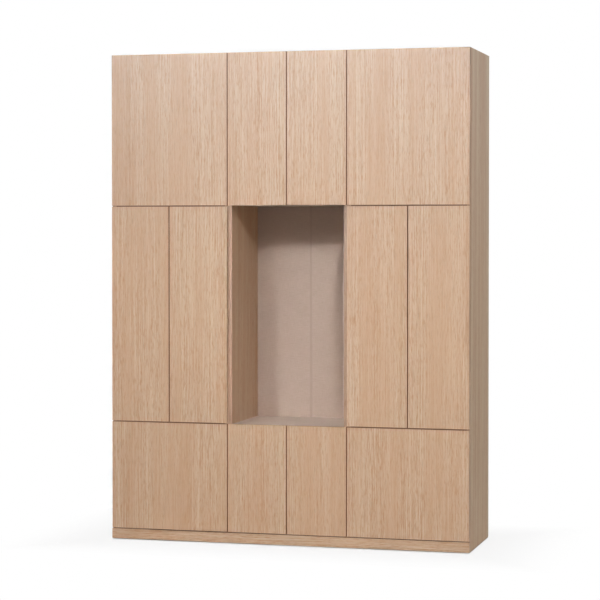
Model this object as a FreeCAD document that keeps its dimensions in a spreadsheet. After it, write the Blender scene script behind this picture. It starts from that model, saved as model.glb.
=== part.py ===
# Modular wardrobe: three frame columns with handleless fronts, two drawers and an open niche.
# Millimetres, +Z up. The origin lies on the floor under the middle of the footprint,
# the fronts face -Y and the wall is on the +Y side. Left and right are as seen from the front.

import FreeCAD
import Part
import Sketcher
import os
import re

# Driving sizes, one cell each
SIZES = {
    # Frame columns
    "column_width": 600,
    "carcass_height": 2400,
    "carcass_depth": 510,
    "panel_thickness": 18,
    "side_lift": 3,
    # Fronts: thickness, air behind them, gaps beside and between them
    "front_thickness": 18,
    "front_standoff": 2,
    "front_gap": 3,
    "tier_gap": 4,
    "front_bevel": 1,
    "low_front_height": 529,
    "mid_front_height": 1062,
    # Plinth board and levelling feet
    "plinth_height": 49,
    "plinth_thickness": 18,
    "plinth_lap": 4,
    "foot_inset_x": 60,
    "foot_inset_y": 70,
    "foot_pad_radius": 22,
    "foot_pad_height": 8,
    "foot_stem_radius": 10,
    "foot_socket_radius": 16,
    "foot_socket_height": 22,
    "foot_flange_radius": 28,
    "foot_flange_height": 4,
    # Back boards in halves, with a joint strip of H section between them
    "back_inset": 56,
    "back_thickness": 8,
    "strip_width": 12.5,
    "strip_flange": 1,
    "strip_web": 2,
    "deck_back_clearance": 0.5,
    # Loose shelves on pins
    "shelf_thickness": 18,
    "shelf_end_clearance": 1,
    "shelf_setback": 20,
    "pin_radius": 2.5,
    "pin_depth": 8,
    "pin_reach": 8,
    "pin_row_inset": 75,
    "pin_gap": 0.1,
    "pin_hole_clearance": 0.1,
    "pin_hole_pitch": 32,
    "pin_hole_spare_depth": 1,
    # Hanging rail and its two sockets
    "rail_radius": 12.5,
    "rail_wall": 1.5,
    "rail_drop": 60,
    "rail_clearance": 0.3,
    "socket_floor": 3,
    "socket_wall": 3,
    "socket_depth": 12,
    # Bolts that tie neighbouring columns together
    "bolt_shank_radius": 3.9,
    "bolt_hole_clearance": 0.2,
    "bolt_head_radius": 7,
    "bolt_head_height": 2.5,
    "bolt_row_inset": 100,
    "bolt_drop": 60,
    # Concealed hinges: cup in the front, arm with its plate on the side panel
    "hinge_end_inset": 100,
    "cup_radius": 17.5,
    "cup_edge_margin": 5,
    "cup_depth": 12,
    "cup_wall": 1.5,
    "cup_fit": 0.15,
    "cup_flange_length": 56,
    "cup_flange_width": 14,
    "cup_flange_thickness": 1.2,
    "arm_width": 12,
    "arm_thickness": 6,
    "arm_clearance": 0.3,
    "arm_tail": 44,
    "plate_thickness": 5.5,
    "plate_width": 18,
    "plate_length": 50,
    "plate_setback": 9,
    # Push latches: body under a deck, plunger against the front
    "latch_edge_inset": 30,
    "latch_width": 16,
    "latch_height": 16,
    "latch_end_wall": 6,
    "plunger_radius": 4,
    "plunger_length": 50,
    "plunger_tip": 1.5,
    "plunger_clearance": 0.3,
    "plunger_tip_gap": 0.3,
    "plunger_travel": 2.5,
    # Drawers and their telescopic runners
    "drawer_height": 280,
    "drawer_lift": 30,
    "drawer_wall": 15,
    "drawer_floor": 8,
    "drawer_floor_rise": 12,
    "drawer_back_clearance": 17,
    "runner_space": 13,
    "runner_height": 45,
    "runner_wall": 1.5,
    "runner_clearance": 0.4,
    "runner_lip_gap": 2,
    "runner_rise": 60,
    "runner_setback": 3,
    "runner_end_clearance": 20,
    # Angle brackets that hold the wardrobe to the wall
    "bracket_width": 100,
    "bracket_leg": 45,
    "bracket_thickness": 2.5,
    "bracket_clearance": 11,
    "bracket_hole_radius": 3.5,
    "bracket_hole_pitch": 64,
    "bracket_hole_drop": 28,
}

# Depth lines, from the faces of the fronts back to the wall
DEPTH = "(front_thickness + front_standoff + carcass_depth)"
FRONT_BACK_Y = f"(front_thickness - {DEPTH} / 2)"
CARCASS_Y = f"({FRONT_BACK_Y} + front_standoff)"
REAR_Y = f"({DEPTH} / 2)"
BACK_REAR_Y = f"({REAR_Y} - back_inset)"
BACK_FACE_Y = f"({BACK_REAR_Y} - back_thickness)"
DECK_END_Y = f"({BACK_FACE_Y} - strip_flange - deck_back_clearance)"

# Height lines, from the floor up
PLINTH_TOP = "(side_lift + plinth_height)"
LOW_Z = f"({PLINTH_TOP} + tier_gap)"
LOW_TOP = f"({LOW_Z} + low_front_height)"
MID_Z = f"({LOW_TOP} + tier_gap)"
MID_TOP = f"({MID_Z} + mid_front_height)"
TOP_Z = f"({MID_TOP} + tier_gap)"
TOP_HEIGHT = f"(carcass_height - {TOP_Z})"
BOTTOM_Z = f"({PLINTH_TOP} - plinth_lap)"
BOTTOM_TOP = f"({BOTTOM_Z} + panel_thickness)"
LOWER_DECK_Z = f"({LOW_TOP} + tier_gap / 2 - panel_thickness / 2)"
UPPER_DECK_Z = f"({MID_TOP} + tier_gap / 2 - panel_thickness / 2)"
NICHE_FLOOR_Z = f"({LOW_TOP} - panel_thickness)"
NICHE_CEILING_Z = TOP_Z
TOP_PANEL_Z = "(carcass_height - panel_thickness)"

# Widths
INNER_WIDTH = "(column_width - 2 * panel_thickness)"
WIDE_FRONT = "(column_width - front_gap)"
HALF_FRONT = "(column_width / 2 - front_gap)"

# Columns, counted from the middle one
COLUMNS = {"left": "-1", "centre": "0", "right": "1"}
TIERS = {
    "low": (LOW_Z, "low_front_height"),
    "mid": (MID_Z, "mid_front_height"),
    "top": (TOP_Z, TOP_HEIGHT),
}
# Underside of the board that carries the latches of each tier of doors
LATCH_Z = {"low": NICHE_FLOOR_Z, "mid": UPPER_DECK_Z, "top": TOP_PANEL_Z}

# Hinges of a door in each tier, as shares of the way from its lowest hinge to its highest
HINGE_SHARES = {"low": ("0", "1"), "mid": ("0", "1 / 2", "1"), "top": ("0", "1")}

# Doors: name, column, tier, which share of the column they cover, hinged edge
DOORS = [
    ("left_top_door", "left", "top", "whole", "left"),
    ("right_top_door", "right", "top", "whole", "right"),
    ("centre_top_door_l", "centre", "top", "left", "left"),
    ("centre_top_door_r", "centre", "top", "right", "right"),
    ("left_mid_door_l", "left", "mid", "left", "left"),
    ("left_mid_door_r", "left", "mid", "right", "right"),
    ("right_mid_door_l", "right", "mid", "left", "left"),
    ("right_mid_door_r", "right", "mid", "right", "right"),
    ("centre_low_door_l", "centre", "low", "left", "left"),
    ("centre_low_door_r", "centre", "low", "right", "right"),
]

# Spaces with loose shelves: column, floor of the space, its ceiling, shares of its height
SHELF_SPACES = [
    ("left", f"({UPPER_DECK_Z} + panel_thickness)", TOP_PANEL_Z, ("1 / 2",)),
    ("right", f"({UPPER_DECK_Z} + panel_thickness)", TOP_PANEL_Z, ("1 / 2",)),
    ("centre", f"({NICHE_CEILING_Z} + panel_thickness)", TOP_PANEL_Z, ("1 / 2",)),
    ("centre", BOTTOM_TOP, NICHE_FLOOR_Z, ("1 / 2",)),
    ("right", f"({LOWER_DECK_Z} + panel_thickness)", UPPER_DECK_Z, ("1 / 3", "2 / 3")),
]
SPARE_HOLE_STEPS = (-1, 0, 1)

ALONG = {
    "x": FreeCAD.Rotation(FreeCAD.Vector(0, 1, 0), 90),
    "y": FreeCAD.Rotation(FreeCAD.Vector(1, 0, 0), -90),
    "z": FreeCAD.Rotation(),
}
HALF_TURN = FreeCAD.Rotation(FreeCAD.Vector(0, 1, 0), 180)
TOLERANCE = 1e-6

# First drawn size of a sketch, before its own dimensions take over
DRAWN_SIDE = 100
DRAWN_RADIUS = 10

doc = FreeCAD.newDocument("modular_wardrobe")
nodes = {}


def make_sheet():
    sheet = doc.addObject("Spreadsheet::Sheet", "Dims")
    for row, (name, value) in enumerate(SIZES.items(), start=1):
        sheet.set(f"A{row}", name)
        sheet.set(f"B{row}", str(value))
        sheet.setAlias(f"B{row}", name)
    doc.recompute()


def cells(text):
    """Turn size names into references to the sheet."""
    return re.sub(r"\b(" + "|".join(SIZES) + r")\b", r"Dims.\1", text)


def bind(obj, sizes):
    for name, text in sizes.items():
        obj.setExpression(name, cells(text))
    return obj


def place(obj, x, y, z):
    return bind(obj, {"Placement.Base.x": x, "Placement.Base.y": y, "Placement.Base.z": z})


def node(label, obj):
    """Keep an object as one of the wardrobe's pieces."""
    obj.Label = label
    nodes[label] = obj
    return obj


def block(name, corner, length, width, height):
    box = doc.addObject("Part::Box", name)
    bind(box, {"Length": length, "Width": width, "Height": height})
    return place(box, *corner)


def rod(name, axis, start, radius, length):
    cylinder = doc.addObject("Part::Cylinder", name)
    cylinder.Placement = FreeCAD.Placement(FreeCAD.Vector(), ALONG[axis])
    bind(cylinder, {"Radius": radius, "Height": length})
    return place(cylinder, *start)


def taper(name, axis, start, first_radius, last_radius, length):
    cone = doc.addObject("Part::Cone", name)
    cone.Placement = FreeCAD.Placement(FreeCAD.Vector(), ALONG[axis])
    bind(cone, {"Radius1": first_radius, "Radius2": last_radius, "Height": length})
    return place(cone, *start)


def union(name, pieces):
    fuse = doc.addObject("Part::MultiFuse", name)
    fuse.Shapes = pieces
    return fuse


def group(name, pieces):
    compound = doc.addObject("Part::Compound", name)
    compound.Links = pieces
    return compound


def cut(name, base, tools):
    difference = doc.addObject("Part::Cut", name)
    difference.Base = base
    difference.Tool = tools[0] if len(tools) == 1 else group(f"{name}_tools", tools)
    return difference


def copy(name, source, x, y, z, rotation=None):
    link = doc.addObject("App::Link", name)
    link.LinkedObject = source
    link.LinkTransform = True
    if rotation is not None:
        link.Placement = FreeCAD.Placement(FreeCAD.Vector(), rotation)
    return place(link, x, y, z)


def column_left(column):
    return f"(({COLUMNS[column]} - 0.5) * column_width)"


def inner_face(column, side):
    """X of the inner face of a column's left or right side panel."""
    if side == "left":
        return f"({column_left(column)} + panel_thickness)"
    return f"({column_left(column)} + column_width - panel_thickness)"


def shelf_levels():
    """Column and underside of every loose shelf."""
    levels = []
    for column, floor, ceiling, shares in SHELF_SPACES:
        for share in shares:
            z = f"({floor} + ({ceiling} - {floor}) * {share} - shelf_thickness / 2)"
            levels.append((column, z))
    return levels


PIN_ROWS = (f"({CARCASS_Y} + pin_row_inset)", f"({DECK_END_Y} - pin_row_inset)")
BOLT_ROWS = (f"({CARCASS_Y} + bolt_row_inset)", f"({DECK_END_Y} - bolt_row_inset)")
BOLT_LEVELS = (f"({NICHE_FLOOR_Z} - bolt_drop)", f"({TOP_PANEL_Z} - bolt_drop)")


def pin_level(shelf_z):
    return f"({shelf_z} - pin_radius - pin_gap)"


def side_panel(label, column, side, bolted):
    """One upright, bored for shelf pins and, between columns, for the tie bolts."""
    face = inner_face(column, side)
    left = f"({face} - panel_thickness)" if side == "left" else face
    board = block(f"{label}_board", (left, CARCASS_Y, "side_lift"), "panel_thickness",
                  "carcass_depth", "carcass_height - side_lift")
    depth = "(pin_depth + pin_hole_spare_depth)"
    mouth = f"({face} - {depth})" if side == "left" else face
    tools = []
    for shelf_column, shelf_z in shelf_levels():
        if shelf_column != column:
            continue
        for row in PIN_ROWS:
            for step in SPARE_HOLE_STEPS:
                level = f"({pin_level(shelf_z)} + {step} * pin_hole_pitch)"
                tools.append(rod(f"{label}_pin_hole", "x", (mouth, row, level),
                                 "pin_radius + pin_hole_clearance", depth))
    if bolted:
        for row in BOLT_ROWS:
            for level in BOLT_LEVELS:
                tools.append(rod(f"{label}_bolt_hole", "x", (left, row, level),
                                 "bolt_shank_radius + bolt_hole_clearance", "panel_thickness"))
    node(label, cut(label, board, tools))


def make_sides():
    side_panel("left_column_outer_side", "left", "left", bolted=False)
    side_panel("left_column_inner_side", "left", "right", bolted=True)
    side_panel("centre_column_left_side", "centre", "left", bolted=True)
    side_panel("centre_column_right_side", "centre", "right", bolted=True)
    side_panel("right_column_inner_side", "right", "left", bolted=True)
    side_panel("right_column_outer_side", "right", "right", bolted=False)


def deck(name, column, z, end_y):
    return block(name, (inner_face(column, "left"), CARCASS_Y, z), INNER_WIDTH,
                 f"{end_y} - {CARCASS_Y}", "panel_thickness")


def make_decks():
    tops = [deck(f"{column}_top_panel", column, TOP_PANEL_Z, REAR_Y) for column in COLUMNS]
    bottoms = [deck(f"{column}_bottom_panel", column, BOTTOM_Z, REAR_Y) for column in COLUMNS]
    node("top_panels", group("top_panels", tops))
    node("bottom_panels", group("bottom_panels", bottoms))
    inner = [
        deck("left_lower_deck", "left", LOWER_DECK_Z, DECK_END_Y),
        deck("left_upper_deck", "left", UPPER_DECK_Z, DECK_END_Y),
        deck("right_lower_deck", "right", LOWER_DECK_Z, DECK_END_Y),
        deck("right_upper_deck", "right", UPPER_DECK_Z, DECK_END_Y),
        deck("niche_floor", "centre", NICHE_FLOOR_Z, DECK_END_Y),
        deck("niche_ceiling", "centre", NICHE_CEILING_Z, DECK_END_Y),
    ]
    node("decks", group("decks", inner))


def make_backs():
    height = f"({TOP_PANEL_Z} - {BOTTOM_TOP})"
    half = f"({INNER_WIDTH} / 2 - strip_web / 2)"
    boards = []
    strips = []
    for column, index in COLUMNS.items():
        middle = f"({index} * column_width)"
        left = inner_face(column, "left")
        right = f"({middle} + strip_web / 2)"
        for half_name, x in (("left", left), ("right", right)):
            boards.append(block(f"{column}_back_{half_name}", (x, BACK_FACE_Y, BOTTOM_TOP),
                                half, "back_thickness", height))
        edge = f"({middle} - strip_width / 2)"
        front = block(f"{column}_strip_front", (edge, f"{BACK_FACE_Y} - strip_flange", BOTTOM_TOP),
                      "strip_width", "strip_flange", height)
        web = block(f"{column}_strip_web", (f"{middle} - strip_web / 2", BACK_FACE_Y, BOTTOM_TOP),
                    "strip_web", "back_thickness", height)
        rear = block(f"{column}_strip_rear", (edge, BACK_REAR_Y, BOTTOM_TOP),
                     "strip_width", "strip_flange", height)
        strips.append(union(f"{column}_strip", [front, web, rear]))
    node("back_boards", group("back_boards", boards))
    node("back_joint_strips", group("back_joint_strips", strips))


def make_plinth_and_feet():
    plinth = block("plinth_board", ("-1.5 * column_width", f"{CARCASS_Y} - plinth_thickness", "side_lift"),
                   "3 * column_width", "plinth_thickness", "plinth_height")
    node("plinth_board", plinth)
    flange_z = f"({BOTTOM_Z} - foot_flange_height)"
    socket_z = f"({flange_z} - foot_socket_height)"
    foot = union("levelling_foot", [
        rod("foot_pad", "z", ("0", "0", "0"), "foot_pad_radius", "foot_pad_height"),
        rod("foot_stem", "z", ("0", "0", "foot_pad_height"), "foot_stem_radius",
            f"{socket_z} - foot_pad_height"),
        rod("foot_socket", "z", ("0", "0", socket_z), "foot_socket_radius", "foot_socket_height"),
        rod("foot_flange", "z", ("0", "0", flange_z), "foot_flange_radius", "foot_flange_height"),
    ])
    feet = []
    for column in COLUMNS:
        left = column_left(column)
        for x in (f"({left} + foot_inset_x)", f"({left} + column_width - foot_inset_x)"):
            for y in (f"({CARCASS_Y} + foot_inset_y)", f"({REAR_Y} - foot_inset_y)"):
                feet.append(copy("foot", foot, x, y, "0"))
    node("levelling_feet", group("levelling_feet", feet))


def make_shelves():
    pin = rod("shelf_pin", "x", ("-pin_depth", "0", "0"), "pin_radius", "pin_depth + pin_reach")
    shelves = []
    pins = []
    for column, z in shelf_levels():
        left = inner_face(column, "left")
        shelves.append(block("shelf", (f"{left} + shelf_end_clearance", f"{CARCASS_Y} + shelf_setback", z),
                             f"{INNER_WIDTH} - 2 * shelf_end_clearance",
                             f"{DECK_END_Y} - {CARCASS_Y} - shelf_setback", "shelf_thickness"))
        for side, rotation in (("left", None), ("right", HALF_TURN)):
            for row in PIN_ROWS:
                pins.append(copy("pin", pin, inner_face(column, side), row, pin_level(z), rotation))
    node("loose_shelves", group("loose_shelves", shelves))
    node("shelf_pins", group("shelf_pins", pins))


def make_hanging_rail():
    level = f"({UPPER_DECK_Z} - rail_drop)"
    middle = f"(({CARCASS_Y} + {DECK_END_Y}) / 2)"
    start = f"({inner_face('left', 'left')} + socket_floor)"
    length = f"({INNER_WIDTH} - 2 * socket_floor)"
    tube = cut("rail_tube", rod("rail_outside", "x", (start, middle, level), "rail_radius", length),
               [rod("rail_inside", "x", (start, middle, level), "rail_radius - rail_wall", length)])
    bore = "(rail_radius + rail_clearance)"
    socket = cut("rail_socket",
                 rod("socket_body", "x", ("0", "0", "0"), f"{bore} + socket_wall", "socket_depth"),
                 [rod("socket_bore", "x", ("socket_floor", "0", "0"), bore, "socket_depth")])
    sockets = [
        copy("socket_left", socket, inner_face("left", "left"), middle, level),
        copy("socket_right", socket, inner_face("left", "right"), middle, level, HALF_TURN),
    ]
    node("hanging_rail", group("hanging_rail", [tube] + sockets))


def make_tie_bolts():
    reach = "(panel_thickness + bolt_head_height)"
    bolt = union("tie_bolt", [
        rod("bolt_shank", "x", (f"-{reach}", "0", "0"), "bolt_shank_radius", f"2 * {reach}"),
        rod("bolt_head_left", "x", (f"-{reach}", "0", "0"), "bolt_head_radius", "bolt_head_height"),
        rod("bolt_head_right", "x", ("panel_thickness", "0", "0"), "bolt_head_radius", "bolt_head_height"),
    ])
    bolts = []
    for boundary in ("-column_width / 2", "column_width / 2"):
        for row in BOLT_ROWS:
            for level in BOLT_LEVELS:
                bolts.append(copy("bolt", bolt, boundary, row, level))
    node("column_tie_bolts", group("column_tie_bolts", bolts))


def make_wall_brackets():
    """Angles under the top panels, with two screw holes each in the leg against the wall."""
    reach = "(back_inset - bracket_clearance)"
    left = "(-bracket_width / 2)"
    holes = []
    for x in ("-bracket_hole_pitch / 2", "bracket_hole_pitch / 2"):
        holes.append(rod("bracket_hole", "y", (x, "-bracket_thickness", "-bracket_hole_drop"),
                         "bracket_hole_radius", "bracket_thickness"))
    angle = union("bracket_angle", [
        block("bracket_flat", (left, f"-{reach}", "-bracket_thickness"), "bracket_width", reach,
              "bracket_thickness"),
        block("bracket_upright", (left, "-bracket_thickness", "-bracket_leg"), "bracket_width",
              "bracket_thickness", "bracket_leg"),
    ])
    bracket = cut("wall_bracket", angle, holes)
    places = [copy("bracket", bracket, f"{index} * column_width", REAR_Y, TOP_PANEL_Z)
              for index in COLUMNS.values()]
    node("wall_brackets", group("wall_brackets", places))


def origin_plane(body, role):
    return next(feature for feature in body.Origin.OriginFeatures if feature.Role == role)


def sketch_on_back(body, name):
    """A sketch in the plane of a front's back face, X across and Y up."""
    sketch = body.newObject("Sketcher::SketchObject", name)
    sketch.AttachmentSupport = (origin_plane(body, "XZ_Plane"), [""])
    sketch.MapMode = "FlatFace"
    return sketch


def driven(sketch, constraint, text):
    index = sketch.addConstraint(constraint)
    sketch.setExpression(f"Constraints[{index}]", cells(text))


def rectangle(sketch, width, height):
    points = ((0, 0), (DRAWN_SIDE, 0), (DRAWN_SIDE, DRAWN_SIDE), (0, DRAWN_SIDE))
    corners = [FreeCAD.Vector(x, y, 0) for x, y in points]
    for start, end in zip(corners, corners[1:] + corners[:1]):
        sketch.addGeometry(Part.LineSegment(start, end), False)
    for index in range(4):
        sketch.addConstraint(Sketcher.Constraint("Coincident", index, 2, (index + 1) % 4, 1))
        direction = "Horizontal" if index % 2 == 0 else "Vertical"
        sketch.addConstraint(Sketcher.Constraint(direction, index))
    sketch.addConstraint(Sketcher.Constraint("Coincident", 0, 1, -1, 1))
    driven(sketch, Sketcher.Constraint("DistanceX", 0, 1, 0, 2, DRAWN_SIDE), width)
    driven(sketch, Sketcher.Constraint("DistanceY", 1, 1, 1, 2, DRAWN_SIDE), height)


def front_board(label, x, z, width, height):
    """A front with its back face in the local XZ plane and bevelled edges around its face."""
    body = doc.addObject("PartDesign::Body", label)
    outline = sketch_on_back(body, f"{label}_outline")
    rectangle(outline, width, height)
    board = body.newObject("PartDesign::Pad", f"{label}_board")
    board.Profile = outline
    bind(board, {"Length": "front_thickness"})
    doc.recompute()
    face_y = board.Shape.BoundBox.YMin
    edges = []
    for number, edge in enumerate(board.Shape.Edges, start=1):
        if all(abs(vertex.Y - face_y) < TOLERANCE for vertex in edge.Vertexes):
            edges.append(f"Edge{number}")
    bevel = body.newObject("PartDesign::Chamfer", f"{label}_bevel")
    bevel.Base = (board, edges)
    bind(bevel, {"Size": "front_bevel"})
    body.Tip = bevel
    place(body, x, FRONT_BACK_Y, z)
    doc.recompute()
    return body


def bore_for_cups(body, label, x, height, count):
    """A column of blind bores for hinge cups in a front's back face."""
    solid_volume = body.Shape.Volume
    sketch = sketch_on_back(body, f"{label}_bore_outline")
    centre = FreeCAD.Vector(DRAWN_SIDE, DRAWN_SIDE, 0)
    sketch.addGeometry(Part.Circle(centre, FreeCAD.Vector(0, 0, 1), DRAWN_RADIUS), False)
    driven(sketch, Sketcher.Constraint("Radius", 0, DRAWN_RADIUS), "cup_radius")
    driven(sketch, Sketcher.Constraint("DistanceX", -1, 1, 0, 3, DRAWN_SIDE), x)
    driven(sketch, Sketcher.Constraint("DistanceY", -1, 1, 0, 3, DRAWN_SIDE), "hinge_end_inset")
    bore = body.newObject("PartDesign::Pocket", f"{label}_bore")
    bore.Profile = sketch
    bore.Reversed = True
    bind(bore, {"Length": "cup_depth"})
    doc.recompute()
    bores = body.newObject("PartDesign::LinearPattern", f"{label}_bores")
    bores.Originals = [bore]
    bores.Direction = (sketch, ["V_Axis"])
    bores.Occurrences = count
    bind(bores, {"Length": f"{height} - 2 * hinge_end_inset"})
    body.Tip = bores
    doc.recompute()
    if body.Shape.Volume >= solid_volume:
        raise RuntimeError(f"{label}: the cup bores removed nothing")


def make_cup():
    """A hinge cup with its two-eared flange, the back face of its front in the local XZ plane."""
    shell = union("cup_shell", [
        rod("cup_outside", "y", ("0", "-cup_depth", "0"), "cup_radius - cup_fit", "cup_depth"),
        block("cup_flange", ("-cup_flange_width / 2", "0", "-cup_flange_length / 2"), "cup_flange_width",
              "cup_flange_thickness", "cup_flange_length"),
    ])
    hollow = rod("cup_inside", "y", ("0", "cup_wall - cup_depth", "0"),
                 "cup_radius - cup_fit - cup_wall", "cup_depth + cup_flange_thickness")
    return cut("hinge_cup", shell, [hollow])


def make_arm():
    """A hinge arm on its plate: X off the side panel, Y from the carcass front."""
    nose = "(front_standoff + cup_depth - cup_wall - arm_clearance)"
    return union("hinge_arm", [
        block("arm_plate", ("0", "plate_setback", "-plate_width / 2"), "plate_thickness", "plate_length",
              "plate_width"),
        block("arm_bar", ("plate_thickness", f"-{nose}", "-arm_width / 2"), "arm_thickness",
              f"{nose} + plate_setback + arm_tail", "arm_width"),
    ])


PLUNGER_PROUD = "(front_standoff - plunger_tip_gap)"
LATCH_BORE_DEPTH = f"(plunger_length - {PLUNGER_PROUD} + plunger_travel + plunger_clearance)"


def make_latch_body():
    """A latch body with its top in the local XY plane and a blind bore in its front."""
    body = block("latch_block", ("-latch_width / 2", "0", "-latch_height"), "latch_width",
                 f"{LATCH_BORE_DEPTH} + latch_end_wall", "latch_height")
    bore = rod("latch_bore", "y", ("0", "0", "-latch_height / 2"), "plunger_radius + plunger_clearance",
               LATCH_BORE_DEPTH)
    return cut("latch_body", body, [bore])


def make_plunger(label, x, deck_z):
    tip_y = f"({FRONT_BACK_Y} + plunger_tip_gap)"
    level = f"({deck_z} - latch_height / 2)"
    node(label, union(label, [
        taper(f"{label}_tip", "y", (x, tip_y, level), "plunger_radius - plunger_tip", "plunger_radius",
              "plunger_tip"),
        rod(f"{label}_stem", "y", (x, f"{tip_y} + plunger_tip", level), "plunger_radius",
            "plunger_length - plunger_tip"),
    ]))


def make_doors():
    cup = make_cup()
    arm = make_arm()
    latch = make_latch_body()
    cup_inset = "(cup_edge_margin + cup_radius)"
    arms = []
    latches = []
    for label, column, tier, share, hinged in DOORS:
        z, height = TIERS[tier]
        width = WIDE_FRONT if share == "whole" else HALF_FRONT
        shift = "column_width / 2" if share == "right" else "0"
        x = f"({column_left(column)} + {shift} + front_gap / 2)"
        far_x = f"({x} + {width})"
        body = front_board(label, x, z, width, height)
        if hinged == "left":
            bore_x = cup_inset
            latch_x = f"({far_x} - latch_edge_inset)"
            rotation = None
        else:
            bore_x = f"({width} - {cup_inset})"
            latch_x = f"({x} + latch_edge_inset)"
            rotation = HALF_TURN
        bore_for_cups(body, label, bore_x, height, len(HINGE_SHARES[tier]))
        node(label, body)
        cups = []
        for rise in HINGE_SHARES[tier]:
            level = f"({z} + hinge_end_inset + ({height} - 2 * hinge_end_inset) * {rise})"
            cups.append(copy("cup", cup, f"{x} + {bore_x}", FRONT_BACK_Y, level))
            arms.append(copy("arm", arm, inner_face(column, hinged), CARCASS_Y, level, rotation))
        node(f"{label}_hinge_cups", group(f"{label}_hinge_cups", cups))
        latches.append(copy("latch", latch, latch_x, CARCASS_Y, LATCH_Z[tier]))
        make_plunger(f"{label}_latch_plunger", latch_x, LATCH_Z[tier])
    node("hinge_arms", group("hinge_arms", arms))
    node("latch_bodies", group("latch_bodies", latches))


RUNNER_STEP = "(runner_wall + runner_clearance)"
RUNNER_LENGTH = f"({DECK_END_Y} - {CARCASS_Y} - runner_setback - runner_end_clearance)"
RUNNER_LIP = "(runner_space - runner_lip_gap)"


def channel(name, nested):
    """A runner member of U section, open away from the side panel; nested counts members around it."""
    inset = f"({nested} * {RUNNER_STEP})"
    half = f"(runner_height / 2 - {inset})"
    outside = block(f"{name}_outside", (inset, "0", f"-{half}"), f"{RUNNER_LIP} - {inset}", RUNNER_LENGTH,
                    f"2 * {half}")
    inside = block(f"{name}_inside", (f"{inset} + runner_wall", "0", f"runner_wall - {half}"),
                   RUNNER_LIP, RUNNER_LENGTH, f"2 * ({half} - runner_wall)")
    return cut(name, outside, [inside])


def drawer_box(side):
    """Two walls, two ends and a floor, hung between the runners behind the drawer front."""
    left = f"({inner_face(side, 'left')} + runner_space)"
    width = f"({INNER_WIDTH} - 2 * runner_space)"
    depth = f"({DECK_END_Y} - drawer_back_clearance - {FRONT_BACK_Y})"
    z = f"({BOTTOM_TOP} + drawer_lift)"
    inner_left = f"({left} + drawer_wall)"
    inner_width = f"({width} - 2 * drawer_wall)"
    inner_depth = f"({depth} - 2 * drawer_wall)"
    pieces = [
        block("drawer_wall_left", (left, FRONT_BACK_Y, z), "drawer_wall", depth, "drawer_height"),
        block("drawer_wall_right", (f"{inner_left} + {inner_width}", FRONT_BACK_Y, z), "drawer_wall",
              depth, "drawer_height"),
        block("drawer_end_front", (inner_left, FRONT_BACK_Y, z), inner_width, "drawer_wall",
              "drawer_height"),
        block("drawer_end_back", (inner_left, f"{FRONT_BACK_Y} + {depth} - drawer_wall", z), inner_width,
              "drawer_wall", "drawer_height"),
        block("drawer_floor_board",
              (inner_left, f"{FRONT_BACK_Y} + drawer_wall", f"{z} + drawer_floor_rise"),
              inner_width, inner_depth, "drawer_floor"),
    ]
    node(f"{side}_drawer_box", group(f"{side}_drawer_box", pieces))


def make_drawers():
    outer = channel("runner_outer", 0)
    middle = channel("runner_middle", 1)
    half = f"(runner_height / 2 - 2 * {RUNNER_STEP})"
    inner = block("runner_inner", (f"2 * {RUNNER_STEP}", "0", f"-{half}"),
                  f"runner_space - 2 * {RUNNER_STEP}", RUNNER_LENGTH, f"2 * {half}")
    front_y = f"({CARCASS_Y} + runner_setback)"
    level = f"({BOTTOM_TOP} + drawer_lift + runner_rise)"
    outers = []
    for side in ("left", "right"):
        z, height = TIERS["low"]
        front_x = f"({column_left(side)} + front_gap / 2)"
        node(f"{side}_drawer_front", front_board(f"{side}_drawer_front", front_x, z, WIDE_FRONT, height))
        drawer_box(side)
        pair = (("left", None), ("right", HALF_TURN))
        members = {"outer": outer, "middle": middle, "inner": inner}
        copies = {name: [copy(f"{side}_{name}", source, inner_face(side, hand), front_y, level, rotation)
                         for hand, rotation in pair]
                  for name, source in members.items()}
        outers += copies["outer"]
        node(f"{side}_runner_middles", group(f"{side}_runner_middles", copies["middle"]))
        node(f"{side}_runner_inners", group(f"{side}_runner_inners", copies["inner"]))
    node("runner_outer_rails", group("runner_outer_rails", outers))


def check_model():
    for obj in doc.Objects:
        if "Invalid" in obj.State or "Error" in obj.State:
            raise RuntimeError(f"{obj.Label} failed: {obj.State}")
    for label, obj in nodes.items():
        if obj.Shape.isNull() or not obj.Shape.isValid():
            raise RuntimeError(f"{label} has no valid shape")


def export_nodes():
    os.makedirs("parts", exist_ok=True)
    for label, obj in nodes.items():
        obj.Shape.exportStep(os.path.join("parts", f"{label}.step"))


make_sheet()
make_sides()
make_decks()
make_backs()
make_plinth_and_feet()
make_shelves()
make_hanging_rail()
make_tie_bolts()
make_wall_brackets()
make_doors()
make_drawers()
doc.recompute()
check_model()
export_nodes()
print(f"{len(nodes)} pieces written")
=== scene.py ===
# Modular wardrobe: finishes, small fittings, camera and light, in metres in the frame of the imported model.
import bmesh
import bpy
import math
from collections import namedtuple
from mathutils import Matrix, Vector


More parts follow.
